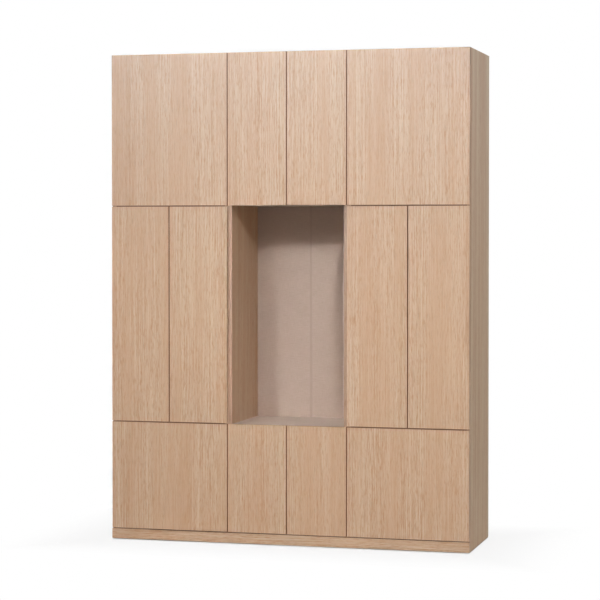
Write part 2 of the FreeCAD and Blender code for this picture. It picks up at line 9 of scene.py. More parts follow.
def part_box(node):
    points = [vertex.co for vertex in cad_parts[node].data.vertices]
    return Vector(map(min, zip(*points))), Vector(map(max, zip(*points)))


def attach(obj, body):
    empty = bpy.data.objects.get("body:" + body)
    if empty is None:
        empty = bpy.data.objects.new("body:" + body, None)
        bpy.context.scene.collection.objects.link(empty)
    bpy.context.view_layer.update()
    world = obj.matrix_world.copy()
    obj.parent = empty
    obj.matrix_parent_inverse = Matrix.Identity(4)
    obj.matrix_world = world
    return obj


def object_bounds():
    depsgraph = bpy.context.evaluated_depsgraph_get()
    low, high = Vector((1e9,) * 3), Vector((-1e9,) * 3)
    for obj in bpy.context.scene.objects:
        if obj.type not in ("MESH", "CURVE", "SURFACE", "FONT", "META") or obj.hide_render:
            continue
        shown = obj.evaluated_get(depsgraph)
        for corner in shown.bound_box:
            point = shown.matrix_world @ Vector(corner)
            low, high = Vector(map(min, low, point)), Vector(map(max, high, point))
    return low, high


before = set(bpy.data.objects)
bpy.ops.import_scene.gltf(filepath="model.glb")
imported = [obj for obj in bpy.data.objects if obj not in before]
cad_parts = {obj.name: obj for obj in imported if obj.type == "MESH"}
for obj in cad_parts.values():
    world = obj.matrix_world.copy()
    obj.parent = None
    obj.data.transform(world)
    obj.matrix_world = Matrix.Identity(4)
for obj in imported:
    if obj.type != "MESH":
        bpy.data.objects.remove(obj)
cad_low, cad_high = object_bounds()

# Lines and boards of the carcass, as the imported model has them
OUTER_LOW, OUTER_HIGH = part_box("left_column_outer_side")
CARCASS_FRONT = OUTER_LOW.y
WALL_LINE = OUTER_HIGH.y
PANEL = OUTER_HIGH.x - OUTER_LOW.x
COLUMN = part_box("left_column_inner_side")[1].x - OUTER_LOW.x
COLUMN_CENTRES = (-COLUMN, 0.0, COLUMN)
FRONT_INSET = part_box("left_top_door")[0].x - OUTER_LOW.x
DECKS_LOW, DECKS_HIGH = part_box("decks")
DECK_END = DECKS_HIGH.y
TOP_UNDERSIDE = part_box("top_panels")[0].z

# Doors: hinged edge and number of hinges
DOOR_HINGES = {
    "left_top_door": ("left", 2),
    "right_top_door": ("right", 2),
    "centre_top_door_l": ("left", 2),
    "centre_top_door_r": ("right", 2),
    "left_mid_door_l": ("left", 3),
    "left_mid_door_r": ("right", 3),
    "right_mid_door_l": ("left", 3),
    "right_mid_door_r": ("right", 3),
    "centre_low_door_l": ("left", 2),
    "centre_low_door_r": ("right", 2),
}
DRAWERS = ("left", "right")
OAK_FRONTS = list(DOOR_HINGES) + [f"{side}_drawer_front" for side in DRAWERS]
PLINTH = "plinth_board"

# Kinds of socket in a node group
VALUE = "NodeSocketFloat"
COLOUR = "NodeSocketColor"
VECTOR = "NodeSocketVector"

# Axes of the frame
WIDTH = 0
DEPTH = 1
HEIGHT = 2

# Ways that a face can look: an axis and a sign
ROOM_WAY = (DEPTH, -1.0)
WALL_WAY = (DEPTH, 1.0)
UP_WAY = (HEIGHT, 1.0)

# How squarely a board's face, or an edge with its bevel, has to look along an axis
FACE_SQUARENESS = 0.75
EDGE_SQUARENESS = 0.5


class Sheet:
    """A node tree with short calls to add nodes and join their sockets."""

    def __init__(self, tree):
        self.tree = tree

    def feed(self, socket, value):
        """Join another node's socket to this one, or set its plain value."""
        if isinstance(value, bpy.types.NodeSocket):
            self.tree.links.new(value, socket)
        else:
            socket.default_value = value

    def put(self, kind, inputs=None, **settings):
        """A new node with its settings, and what feeds its inputs."""
        node = self.tree.nodes.new(kind)
        for name, value in settings.items():
            setattr(node, name, value)
        for name, value in (inputs or {}).items():
            self.feed(node.inputs[name], value)
        return node

    def group(self, tree, **inputs):
        """The outputs of a node group, fed by the names of its inputs."""
        return self.put("ShaderNodeGroup", inputs, node_tree=tree).outputs

    def place(self):
        """A point on the piece, in metres."""
        return self.put("ShaderNodeTexCoord").outputs["Object"]

    def normal(self):
        """The way that a point on the piece faces."""
        return self.put("ShaderNodeTexCoord").outputs["Normal"]

    def split(self, vector):
        return self.put("ShaderNodeSeparateXYZ", {0: vector}).outputs

    def join(self, x=0.0, y=0.0, z=0.0):
        return self.put("ShaderNodeCombineXYZ", {0: x, 1: y, 2: z}).outputs[0]

    def vector(self, operation, first, second):
        return self.put("ShaderNodeVectorMath", {0: first, 1: second}, operation=operation).outputs[0]

    def calc(self, operation, first, second=0.0, clamp=False):
        node = self.put("ShaderNodeMath", {0: first, 1: second}, operation=operation, use_clamp=clamp)
        return node.outputs[0]

    def add(self, first, second, clamp=False):
        return self.calc("ADD", first, second, clamp)

    def less(self, first, second):
        return self.calc("SUBTRACT", first, second)

    def times(self, first, second):
        return self.calc("MULTIPLY", first, second)

    def swing(self, value, amount):
        """A value from 0 to 1 taken as a swing about its middle, of that amount."""
        return self.times(self.less(value, 0.5), amount)

    def noise(self, place, waves, detail=2.0, roughness=0.5):
        """Noise with its own number of waves to the metre in X, Y and Z."""
        inputs = {"Vector": self.vector("MULTIPLY", place, waves), "Scale": 1.0, "Detail": detail,
                  "Roughness": roughness}
        return self.put("ShaderNodeTexNoise", inputs).outputs["Fac"]

    def drawn(self, place, across, along, detail=2.0, roughness=0.5):
        """Noise drawn out along Z, with its waves to the metre across and along the grain."""
        return self.noise(place, (across, across, along), detail, roughness)

    def ramp(self, value, low, high):
        """0 below low, 1 above high, and a smooth rise between."""
        inputs = {"Value": value, "From Min": low, "From Max": high}
        return self.put("ShaderNodeMapRange", inputs, interpolation_type="SMOOTHSTEP").outputs[0]

    def mix(self, share, first, second, blend="MIX"):
        """Two colours mixed, by the share of the second."""
        inputs = {0: share, 6: first, 7: second}
        return self.put("ShaderNodeMix", inputs, data_type="RGBA", blend_type=blend).outputs[2]

    def tint(self, colour, tone):
        return self.mix(1.0, colour, tone, "MULTIPLY")

    def shade(self, colour, factor):
        """A colour made darker or lighter by a value."""
        grey = self.put("ShaderNodeCombineColor", {0: factor, 1: factor, 2: factor}).outputs[0]
        return self.tint(colour, grey)


def start_group(name, inputs, outputs):
    """A shader node group with named sockets, ready to be filled."""
    tree = bpy.data.node_groups.new(name, "ShaderNodeTree")
    for label, kind in inputs:
        tree.interface.new_socket(label, in_out="INPUT", socket_type=kind)
    for label, kind in outputs:
        tree.interface.new_socket(label, in_out="OUTPUT", socket_type=kind)
    sheet = Sheet(tree)
    return sheet, sheet.put("NodeGroupInput").outputs, sheet.put("NodeGroupOutput").inputs


def looks_along(sheet, axis):
    """1 on faces that look along an axis, either way."""
    part = sheet.split(sheet.normal())[axis]
    return sheet.calc("GREATER_THAN", sheet.calc("ABSOLUTE", part), FACE_SQUARENESS)


def looks_one_way(sheet, ways):
    """1 on faces and bevels that look along one of the ways."""
    parts = sheet.split(sheet.normal())
    found = 0.0
    for axis, sign in ways:
        looks = sheet.calc("GREATER_THAN", sheet.times(parts[axis], sign), EDGE_SQUARENESS)
        found = sheet.calc("MAXIMUM", found, looks)
    return found


def make_grain_place():
    """Where a point lies in the print, with Z along the grain, also on edges that look up or down."""
    sheet, _, given = start_group("grain_place", [], [("Place", VECTOR)])
    place = sheet.place()
    x, y, z = sheet.split(place)
    inputs = {0: looks_along(sheet, HEIGHT), 4: place, 5: sheet.join(z, y, x)}
    sheet.feed(given["Place"], sheet.put("ShaderNodeMix", inputs, data_type="VECTOR").outputs[1])
    return sheet.tree


# Oak print: how far the grain sways sideways, and how closely the rings of a flame lie
GRAIN_SWAY = 0.03
FLAME_RINGS = 34.0

# Oak print: the tone between pale and deep that it starts from, and how far each layer moves it
OAK_TONE = 0.32
STREAK_SWING = 1.65
HAIR_SWING = 1.4
DASH_SHARE = 0.5
FLAME_SHARE = 0.42
BLUSH_SHARE = 0.6
PORE_SHADE = 0.18

# Oak print: what hairs, streaks and pores do to the roughness and the relief
HAIR_ROUGHNESS = 0.16
PORE_ROUGHNESS = 0.12
HAIR_RELIEF = 0.5
STREAK_RELIEF = 0.4
PORE_RELIEF = 0.8


def make_oak_print():
    """Printed oak: tone bands, flame dashes, streaks and pores, all drawn out along Z."""
    sheet, taken, given = start_group(
        "oak_print",
        [("Place", VECTOR), ("Pale", COLOUR), ("Deep", COLOUR), ("Rose", COLOUR), ("Bands", VALUE)],
        [("Color", COLOUR), ("Roughness", VALUE), ("Height", VALUE)],
    )
    place = taken["Place"]
    sway = sheet.swing(sheet.drawn(place, across=2.5, along=0.9), GRAIN_SWAY)
    grain = sheet.vector("ADD", place, sheet.join(sway, sway))

    band = sheet.drawn(grain, across=16.0, along=0.35, detail=3.0, roughness=0.6)
    streak = sheet.drawn(grain, across=240.0, along=0.8, roughness=0.6)
    hair = sheet.drawn(grain, across=250.0, along=6.0, roughness=0.7)
    dash = sheet.ramp(sheet.drawn(grain, across=260.0, along=28.0, roughness=0.6), low=0.46, high=0.7)
    blush = sheet.ramp(sheet.drawn(grain, across=13.0, along=0.6), low=0.4, high=0.66)
    pores = sheet.ramp(sheet.drawn(grain, across=520.0, along=20.0), low=0.6, high=0.72)

    field = sheet.drawn(place, across=3.4, along=0.75, detail=1.0)
    rings = sheet.calc("PINGPONG", sheet.times(field, FLAME_RINGS), 1.0)
    lines = sheet.ramp(rings, low=0.6, high=0.95)
    zone = sheet.ramp(sheet.drawn(place, across=2.6, along=0.3, detail=1.0), low=0.48, high=0.6)
    broken = sheet.ramp(sheet.drawn(grain, across=150.0, along=16.0), low=0.45, high=0.62)
    flame = sheet.times(sheet.times(lines, zone), broken)

    tone = sheet.add(OAK_TONE, sheet.swing(band, taken["Bands"]))
    tone = sheet.add(tone, sheet.swing(streak, STREAK_SWING))
    tone = sheet.add(tone, sheet.swing(hair, HAIR_SWING))
    tone = sheet.add(tone, sheet.times(dash, DASH_SHARE))
    tone = sheet.add(tone, sheet.times(flame, FLAME_SHARE), clamp=True)
    colour = sheet.mix(tone, taken["Pale"], taken["Deep"])
    colour = sheet.mix(sheet.times(blush, BLUSH_SHARE), colour, taken["Rose"])
    sheet.feed(given["Color"], sheet.shade(colour, sheet.less(1.0, sheet.times(pores, PORE_SHADE))))

    rough = sheet.swing(hair, HAIR_ROUGHNESS)
    sheet.feed(given["Roughness"], sheet.add(rough, sheet.times(pores, PORE_ROUGHNESS)))
    height = sheet.add(sheet.times(hair, HAIR_RELIEF), sheet.times(streak, STREAK_RELIEF))
    sheet.feed(given["Height"], sheet.less(height, sheet.times(pores, PORE_RELIEF)))
    return sheet.tree


def make_painted_edge_highlight():
    """A mask along outer edges, for a painted highlight where a banded board's rounded edge would catch the
    light.
    """
    sheet, taken, given = start_group("painted_edge_highlight", [("Reach", VALUE)], [("Edge", VALUE)])
    rounded = sheet.put("ShaderNodeBevel", {"Radius": taken["Reach"]}, samples=4).outputs[0]
    plain = sheet.put("ShaderNodeNewGeometry").outputs["Normal"]
    likeness = sheet.put("ShaderNodeVectorMath", {0: rounded, 1: plain}, operation="DOT_PRODUCT")
    turn = sheet.less(1.0, likeness.outputs["Value"])
    sheet.feed(given["Edge"], sheet.ramp(turn, low=0.004, high=0.12))
    return sheet.tree


# Linen print: waves to the metre along and across a thread, and radians to the metre of the crossings
SLUB_WAVES = 26.0
THREAD_WAVES = 420.0
CROSSING_WAVES = 4200.0

# Linen print: the tone that it starts from, how far each layer moves it, roughness and relief
LINEN_TONE = 0.5
WEFT_SWING = 0.9
WARP_SWING = 0.6
MOTTLE_SWING = 0.35
CROSSING_SHARE = 0.08
LINEN_ROUGHNESS = 0.42
WEFT_ROUGHNESS = 0.25
CROSSING_RELIEF = 0.5


def make_linen_weave():
    """Printed linen on a board: crossing threads, slubs along both, soft mottling."""
    sheet, taken, given = start_group(
        "linen_weave",
        [("Pale", COLOUR), ("Deep", COLOUR)],
        [("Color", COLOUR), ("Roughness", VALUE), ("Height", VALUE)],
    )
    x, y, z = sheet.split(sheet.place())
    across = sheet.put("ShaderNodeMix", {0: looks_along(sheet, WIDTH), 2: x, 3: y}).outputs[0]
    along = sheet.put("ShaderNodeMix", {0: looks_along(sheet, HEIGHT), 2: z, 3: y}).outputs[0]
    cloth = sheet.join(across, along)

    weft = sheet.noise(cloth, (SLUB_WAVES, THREAD_WAVES, 1.0), detail=3.0, roughness=0.6)
    warp = sheet.noise(cloth, (THREAD_WAVES, SLUB_WAVES, 1.0), detail=3.0, roughness=0.6)
    mottle = sheet.noise(cloth, (9.0, 14.0, 1.0), detail=3.0)
    over = sheet.calc("SINE", sheet.times(across, CROSSING_WAVES))
    under = sheet.calc("SINE", sheet.times(along, CROSSING_WAVES))
    crossing = sheet.times(over, under)

    tone = sheet.add(LINEN_TONE, sheet.swing(weft, WEFT_SWING))
    tone = sheet.add(tone, sheet.swing(warp, WARP_SWING))
    tone = sheet.add(tone, sheet.swing(mottle, MOTTLE_SWING))
    tone = sheet.add(tone, sheet.times(crossing, CROSSING_SHARE), clamp=True)
    sheet.feed(given["Color"], sheet.mix(tone, taken["Pale"], taken["Deep"]))
    sheet.feed(given["Roughness"], sheet.add(LINEN_ROUGHNESS, sheet.swing(weft, WEFT_ROUGHNESS)))
    height = sheet.add(sheet.times(crossing, CROSSING_RELIEF), sheet.add(weft, warp))
    sheet.feed(given["Height"], height)
    return sheet.tree


# Metal: the tone between bright and dull that it starts from, and how far lines and clouds move it
METAL_TONE = 0.45
LINE_SWING = 0.7
CLOUD_SWING = 0.8
CLOUD_WAVES = (60.0, 60.0, 60.0)


def make_drawn_metal():
    """Fine draw lines and cloudy spots on a plated or polished metal."""
    sheet, taken, given = start_group(
        "drawn_metal",
        [("Lines", VECTOR), ("Bright", COLOUR), ("Dull", COLOUR), ("Rough", VALUE), ("Spread", VALUE)],
        [("Color", COLOUR), ("Roughness", VALUE), ("Height", VALUE)],
    )
    place = sheet.place()
    lines = sheet.noise(place, taken["Lines"], detail=3.0, roughness=0.6)
    cloud = sheet.noise(place, CLOUD_WAVES, detail=4.0, roughness=0.6)
    tone = sheet.add(METAL_TONE, sheet.swing(lines, LINE_SWING))
    tone = sheet.add(tone, sheet.swing(cloud, CLOUD_SWING), clamp=True)
    sheet.feed(given["Color"], sheet.mix(tone, taken["Bright"], taken["Dull"]))
    sheet.feed(given["Roughness"], sheet.add(taken["Rough"], sheet.swing(tone, taken["Spread"])))
    sheet.feed(given["Height"], lines)
    return sheet.tree


# Moulded plastic: waves to the metre of its grit and flow, and how far they move tone and roughness
GRIT_WAVES = (1800.0, 1800.0, 1800.0)
FLOW_WAVES = (70.0, 70.0, 25.0)
PLASTIC_TONE = 0.5
FLOW_SWING = 0.8
GRIT_SWING = 0.4
PLASTIC_ROUGHNESS = 0.5
GRIT_ROUGHNESS = 0.3


def make_moulded_skin():
    """The fine spark-eroded skin of moulded plastic."""
    sheet, taken, given = start_group(
        "moulded_skin",
        [("Pale", COLOUR), ("Deep", COLOUR)],
        [("Color", COLOUR), ("Roughness", VALUE), ("Height", VALUE)],
    )
    place = sheet.place()
    grit = sheet.noise(place, GRIT_WAVES)
    flow = sheet.noise(place, FLOW_WAVES, detail=3.0)
    tone = sheet.add(PLASTIC_TONE, sheet.swing(flow, FLOW_SWING))
    tone = sheet.add(tone, sheet.swing(grit, GRIT_SWING), clamp=True)
    sheet.feed(given["Color"], sheet.mix(tone, taken["Pale"], taken["Deep"]))
    sheet.feed(given["Roughness"], sheet.add(PLASTIC_ROUGHNESS, sheet.swing(grit, GRIT_ROUGHNESS)))
    sheet.feed(given["Height"], grit)
    return sheet.tree


GRAIN_PLACE = make_grain_place()
OAK_PRINT = make_oak_print()
PAINTED_EDGE_HIGHLIGHT = make_painted_edge_highlight()
LINEN_WEAVE = make_linen_weave()
DRAWN_METAL = make_drawn_metal()
MOULDED_SKIN = make_moulded_skin()

# Oak tones, in linear light: the print, the painted edge highlight, the painted shade in a gap between
# boards
OAK_PALE = (0.705, 0.54, 0.38, 1)
OAK_DEEP = (0.545, 0.30, 0.168, 1)
OAK_ROSE = (0.625, 0.395, 0.245, 1)
OAK_EDGE_HIGHLIGHT = (0.75, 0.515, 0.338, 1)
PAINTED_GAP_SHADE = (0.15, 0.05, 0.01, 1)
UNTINTED = (1.0, 1.0, 1.0, 1)

# Oak boards: reach and share of the painted edge highlight, share of the painted gap shade, roughness and
# gloss of the print
HIGHLIGHT_REACH = 0.005
HIGHLIGHT_SHARE = 0.6
GAP_SHADE_SHARE = 0.9
OAK_ROUGHNESS = 0.6
OAK_GLOSS = 0.02

# Linen and raw fibre tones, in linear light
LINEN_PALE = (0.61, 0.495, 0.42, 1)
LINEN_DEEP = (0.435, 0.342, 0.282, 1)
LINEN_GLOSS = 0.05
FIBRE_PALE = (0.42, 0.33, 0.25, 1)
FIBRE_DEEP = (0.32, 0.24, 0.175, 1)

# Rear of the back boards: waves to the metre, the tone that it starts from, its swings, extra roughness
FIBRE_WAVES = (240.0, 240.0, 240.0)
STAIN_WAVES = (3.0, 3.0, 3.0)
FIBRE_TONE = 0.5
FIBRE_SWING = 1.0
STAIN_SWING = 0.5
FIBRE_ROUGHNESS = 0.15


def start_material(name):
    """A material with its Principled shader, and the sheet to fill."""
    material = bpy.data.materials.new(name)
    material.use_nodes = True
    sheet = Sheet(material.node_tree)
    return material, sheet, material.node_tree.nodes["Principled BSDF"].inputs


def raise_surface(sheet, shader, height, strength, distance):
    bump = sheet.put("ShaderNodeBump", {"Height": height, "Strength": strength, "Distance": distance})
    sheet.feed(shader["Normal"], bump.outputs[0])


def oak(name, shift, finish, meeting=(), lying=False):
    """Lacquered oak print. Each board has its own part of the print; a lying board has its grain along X.

    Edges that look one of the meeting ways get painted shade, as dark as a shadow gap, and they and the
    faces that look up have no lacquer.
    """
    material, sheet, shader = start_material(name)
    place = sheet.place() if lying else sheet.group(GRAIN_PLACE)["Place"]
    turn = (0.0, math.radians(90.0 if lying else 0.0), 0.0)
    mapping = sheet.put("ShaderNodeMapping", {"Vector": place, "Location": shift, "Rotation": turn})
    made = sheet.group(OAK_PRINT, Place=mapping.outputs[0], Pale=OAK_PALE, Deep=OAK_DEEP, Rose=OAK_ROSE,
                       Bands=finish.bands)
    # Painted highlight: faces that look along Y are made paler along their edges, where a rounded edge would
    # catch the light.
    edge = sheet.group(PAINTED_EDGE_HIGHLIGHT, Reach=HIGHLIGHT_REACH)["Edge"]
    highlighted = sheet.mix(sheet.times(edge, HIGHLIGHT_SHARE), made["Color"], OAK_EDGE_HIGHLIGHT)
    faced = sheet.tint(highlighted, finish.facing_tint)
    edged = sheet.tint(made["Color"], finish.side_tint)
    if meeting:
        # Painted shade: edges that face another front across a gap are darkened as if the gap kept the light
        # out.
        gap_shade = sheet.times(looks_one_way(sheet, meeting), GAP_SHADE_SHARE)
        edged = sheet.mix(gap_shade, edged, PAINTED_GAP_SHADE)
    bare = looks_one_way(sheet, [UP_WAY, *meeting])
    sheet.feed(shader["Base Color"], sheet.mix(looks_along(sheet, DEPTH), edged, faced))
    sheet.feed(shader["Roughness"], sheet.add(made["Roughness"], OAK_ROUGHNESS))
    shader["Specular IOR Level"].default_value = OAK_GLOSS
    sheet.feed(shader["Coat Weight"], sheet.less(1.0, bare))
    shader["Coat Roughness"].default_value = finish.lacquer_roughness
    shader["Coat IOR"].default_value = finish.lacquer_ior
    raise_surface(sheet, shader, made["Height"], strength=0.2, distance=0.0003)
    return material


def linen(name, pale=LINEN_PALE, deep=LINEN_DEEP, gloss=LINEN_GLOSS, gap_shade=0.0):
    """Linen-printed board, with a share of painted shade on the edges to the room, as dark as the gaps in
    front of them.
    """
    material, sheet, shader = start_material(name)
    made = sheet.group(LINEN_WEAVE, Pale=pale, Deep=deep)
    colour = made["Color"]
    if gap_shade:
        # Painted shade on the edges to the room, which lie behind the gaps between the fronts.
        front = sheet.times(looks_one_way(sheet, [ROOM_WAY]), gap_shade)
        colour = sheet.mix(front, colour, PAINTED_GAP_SHADE)
    sheet.feed(shader["Base Color"], colour)
    sheet.feed(shader["Roughness"], made["Roughness"])
    shader["Specular IOR Level"].default_value = gloss
    raise_surface(sheet, shader, made["Height"], strength=0.2, distance=0.0002)
    return material


def back_board():
    """Linen print towards the room, plain brown fibre towards the wall."""
    material, sheet, shader = start_material("linen_back_board")
    made = sheet.group(LINEN_WEAVE, Pale=LINEN_PALE, Deep=LINEN_DEEP)
    place = sheet.place()
    fibre = sheet.noise(place, FIBRE_WAVES, detail=5.0, roughness=0.7)
    stain = sheet.noise(place, STAIN_WAVES, detail=3.0)
    tone = sheet.add(FIBRE_TONE, sheet.swing(fibre, FIBRE_SWING))
    tone = sheet.add(tone, sheet.swing(stain, STAIN_SWING), clamp=True)
    raw = sheet.mix(tone, FIBRE_PALE, FIBRE_DEEP)
    rear = looks_one_way(sheet, [WALL_WAY])
    sheet.feed(shader["Base Color"], sheet.mix(rear, made["Color"], raw))
    sheet.feed(shader["Roughness"], sheet.add(made["Roughness"], sheet.times(rear, FIBRE_ROUGHNESS)))
    shader["Specular IOR Level"].default_value = LINEN_GLOSS
    raise_surface(sheet, shader, made["Height"], strength=0.2, distance=0.0002)
    return material


def metal(name, bright, dull, rough, spread, lines):
    """Plated or polished metal, with the waves to the metre of its draw lines."""
    material, sheet, shader = start_material(name)
    made = sheet.group(DRAWN_METAL, Lines=lines, Bright=bright, Dull=dull, Rough=rough, Spread=spread)
    sheet.feed(shader["Base Color"], made["Color"])
    sheet.feed(shader["Roughness"], made["Roughness"])
    shader["Metallic"].default_value = 1.0
    raise_surface(sheet, shader, made["Height"], strength=0.08, distance=0.0002)
    return material


def plastic(name, pale, deep, gloss=0.5):
    material, sheet, shader = start_material(name)
    made = sheet.group(MOULDED_SKIN, Pale=pale, Deep=deep)
    sheet.feed(shader["Base Color"], made["Color"])
    sheet.feed(shader["Roughness"], made["Roughness"])
    shader["Specular IOR Level"].default_value = gloss
    raise_surface(sheet, shader, made["Height"], strength=0.15, distance=0.0002)
    return material


# Finishes that several pieces share
LINEN_BOARD = linen("linen_board")
# The decks' edges to the room carry painted shade, as dark as the gaps in front of them.
DECK_LINEN = linen("linen_deck", pale=(0.8, 0.67, 0.59, 1), deep=(0.59, 0.49, 0.425, 1), gloss=0.5,
                   gap_shade=GAP_SHADE_SHARE)
DRAWER_LINEN = linen("linen_drawer", pale=(0.56, 0.47, 0.40, 1), deep=(0.42, 0.34, 0.28, 1))
BACK_BOARD = back_board()
STRIP_PLASTIC = plastic("strip_plastic", pale=(0.51, 0.405, 0.338, 1), deep=(0.45, 0.355, 0.296, 1),
                        gloss=LINEN_GLOSS)
BLACK_PLASTIC = plastic("black_plastic", pale=(0.03, 0.03, 0.032, 1), deep=(0.016, 0.016, 0.017, 1))
GREY_PLASTIC = plastic("grey_plastic", pale=(0.36, 0.355, 0.35, 1), deep=(0.28, 0.275, 0.27, 1))
COVER_PLASTIC = plastic("cover_plastic", pale=(0.54, 0.44, 0.37, 1), deep=(0.46, 0.37, 0.305, 1))
BUMPER_RUBBER = plastic("bumper_rubber", pale=(0.7, 0.69, 0.67, 1), deep=(0.58, 0.57, 0.55, 1))
ZINC = metal("zinc", bright=(0.74, 0.75, 0.76, 1), dull=(0.55, 0.56, 0.58, 1), rough=0.38,
             spread=0.2, lines=(900.0, 12.0, 900.0))
NICKEL = metal("nickel", bright=(0.78, 0.75, 0.71, 1), dull=(0.62, 0.59, 0.55, 1), rough=0.26,
               spread=0.15, lines=(700.0, 40.0, 700.0))
RAIL_METAL = metal("rail_metal", bright=(0.82, 0.82, 0.82, 1), dull=(0.66, 0.66, 0.67, 1), rough=0.2,
                   spread=0.12, lines=(8.0, 900.0, 900.0))
SCREW_STEEL = metal("screw_steel", bright=(0.8, 0.79, 0.76, 1), dull=(0.58, 0.57, 0.55, 1), rough=0.3,
                    spread=0.2, lines=(800.0, 800.0, 800.0))

# Finishes of oak boards: lacquer, strength of the tone bands, tints of front and rear faces and of others
OakFinish = namedtuple("OakFinish", "lacquer_roughness lacquer_ior bands facing_tint side_tint")
FRONT_FINISH = OakFinish(lacquer_roughness=0.36, lacquer_ior=1.29, bands=0.7,
                         facing_tint=UNTINTED, side_tint=UNTINTED)
PANEL_FINISH = OakFinish(lacquer_roughness=0.5, lacquer_ior=1.42, bands=2.2,
                         facing_tint=(0.703, 0.642, 0.613, 1), side_tint=(1.06, 1.12, 1.13, 1))
OUTER_FINISH = PANEL_FINISH._replace(bands=3.6, side_tint=(1.06, 1.08, 1.06, 1))

# Steps through the oak print from one board to the next, and the plinth's own part of it
PRINT_STEPS = (1.7, 0.9, 2.3)
PLINTH_PRINT = (0.4, 3.1, 5.2)

# Two fronts closer than this meet across a gap
WIDEST_GAP = 0.006

# Finishes of the nodes of the carcass, apart from the plinth
OAK_PANELS = {
    "left_column_outer_side": OUTER_FINISH,
    "left_column_inner_side": PANEL_FINISH,
    "centre_column_left_side": PANEL_FINISH,
    "centre_column_right_side": PANEL_FINISH,
    "right_column_inner_side": PANEL_FINISH,
    "right_column_outer_side": OUTER_FINISH,
    "top_panels": PANEL_FINISH,
}
SHARED_FINISH = {
    "bottom_panels": LINEN_BOARD,
    "decks": DECK_LINEN,
    "loose_shelves": LINEN_BOARD,
    "back_boards": BACK_BOARD,
    "back_joint_strips": STRIP_PLASTIC,
    "levelling_feet": BLACK_PLASTIC,
    "shelf_pins": ZINC,
    "hanging_rail": RAIL_METAL,
    "column_tie_bolts": ZINC,
    "wall_brackets": ZINC,
    "hinge_arms": NICKEL,
    "latch_bodies": GREY_PLASTIC,
    "runner_outer_rails": ZINC,
}


def dress(node, material):
    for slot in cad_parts[node].material_slots:
        slot.material = material


def meeting_ways(board):
    """The ways in which another front, or the plinth, lies across a narrow gap from a board's edge."""
    low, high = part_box(board)
    ways = set()
    for other in OAK_FRONTS + [PLINTH]:
        other_low, other_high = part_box(other)
        for axis, across in ((WIDTH, HEIGHT), (HEIGHT, WIDTH)):
            if min(high[across], other_high[across]) <= max(low[across], other_low[across]):
                continue
            if 0.0 < other_low[axis] - high[axis] < WIDEST_GAP:
                ways.add((axis, 1.0))
            if 0.0 < low[axis] - other_high[axis] < WIDEST_GAP:
                ways.add((axis, -1.0))
    return sorted(ways)


def part_of_print(index):
    return tuple(step * index for step in PRINT_STEPS)


def dress_nodes():
    for index, node in enumerate(OAK_FRONTS):
        dress(node, oak(f"oak_{node}", part_of_print(index), FRONT_FINISH, meeting_ways(node)))
    for index, (node, finish) in enumerate(OAK_PANELS.items(), len(OAK_FRONTS)):
        dress(node, oak(f"oak_{node}", part_of_print(index), finish))
    dress(PLINTH, oak(f"oak_{PLINTH}", PLINTH_PRINT, FRONT_FINISH, meeting_ways(PLINTH), lying=True))
    for node, material in SHARED_FINISH.items():
        dress(node, material)
    for door in DOOR_HINGES:
        dress(f"{door}_hinge_cups", NICKEL)
        dress(f"{door}_latch_plunger", GREY_PLASTIC)
    for side in DRAWERS:
        dress(f"{side}_drawer_box", DRAWER_LINEN)
        dress(f"{side}_runner_inners", ZINC)
        dress(f"{side}_runner_middles", ZINC)


# Cam cover: (radius, height) points of a low dome with a dimple in its middle
CAM_COVER_LINE = [(0.0, 0.0006), (0.0012, 0.0006), (0.0018, 0.0010), (0.0055, 0.0009), (0.0078, 0.0005),
                  (0.0085, 0.0), (0.0, 0.0)]

# Bumper: (radius, height) points of a soft stop for a door
BUMPER_LINE = [(0.0, 0.0016), (0.0010, 0.0015), (0.0019, 0.0012), (0.0025, 0.0007), (0.0028, 0.0),
               (0.0, 0.0)]

# Rail flange: (radius, height) points of the collar around a rail socket
RAIL_FLANGE_LINE = [(0.0159, 0.0), (0.0159, 0.0030), (0.0172, 0.0030), (0.0182, 0.0022), (0.0252, 0.0018),
                    (0.0260, 0.0010), (0.0260, 0.0), (0.0159, 0.0)]

# Turned shapes: steps all around, and how close two points are to be merged
SPIN_STEPS = 20
MERGE_DISTANCE = 1e-6

# Screw heads: radius and height
CUP_SCREW = (0.0034, 0.0005)
PLATE_SCREW = (0.0042, 0.0016)
ARM_SCREW = (0.0036, 0.0009)
LATCH_SCREW = (0.0024, 0.0008)
FLANGE_SCREW = (0.0030, 0.0011)
BOLT_CAP = (0.0064, 0.0010)
BRACKET_SCREW = (0.0045, 0.0020)
DRAWER_FRONT_SCREW = (0.0045, 0.0020)
DRAWER_CORNER_SCREW = (0.0035, 0.0006)

# Pan head, in shares of its radius and height: flat top, cross recess, growth and drop of two lower rings
HEAD_SEGMENTS = 12
HEAD_FLAT = 0.78
RECESS_ARM = 0.12
RECESS_TIP = 0.52
RECESS_DEPTH = 0.6
HEAD_RINGS = ((1.28, 0.45), (1.0, 0.55))

# Wing plate under a hinge arm: its three sizes, and how far its corners and outer edge are rounded
WING_THICKNESS = 0.0022
WING_DEPTH = 0.016
WING_HEIGHT = 0.052
WING_CORNER = 0.0072
WING_EDGE = 0.0005

# Edges that turn by more than this stay sharp
SMOOTH_ANGLE = math.radians(40.0)


def keep_shape(mesh):
    """The finished shape as mesh data, to be set out in many places."""
    data = bpy.data.meshes.new("shape")
    mesh.to_mesh(data)
    mesh.free()
    return data


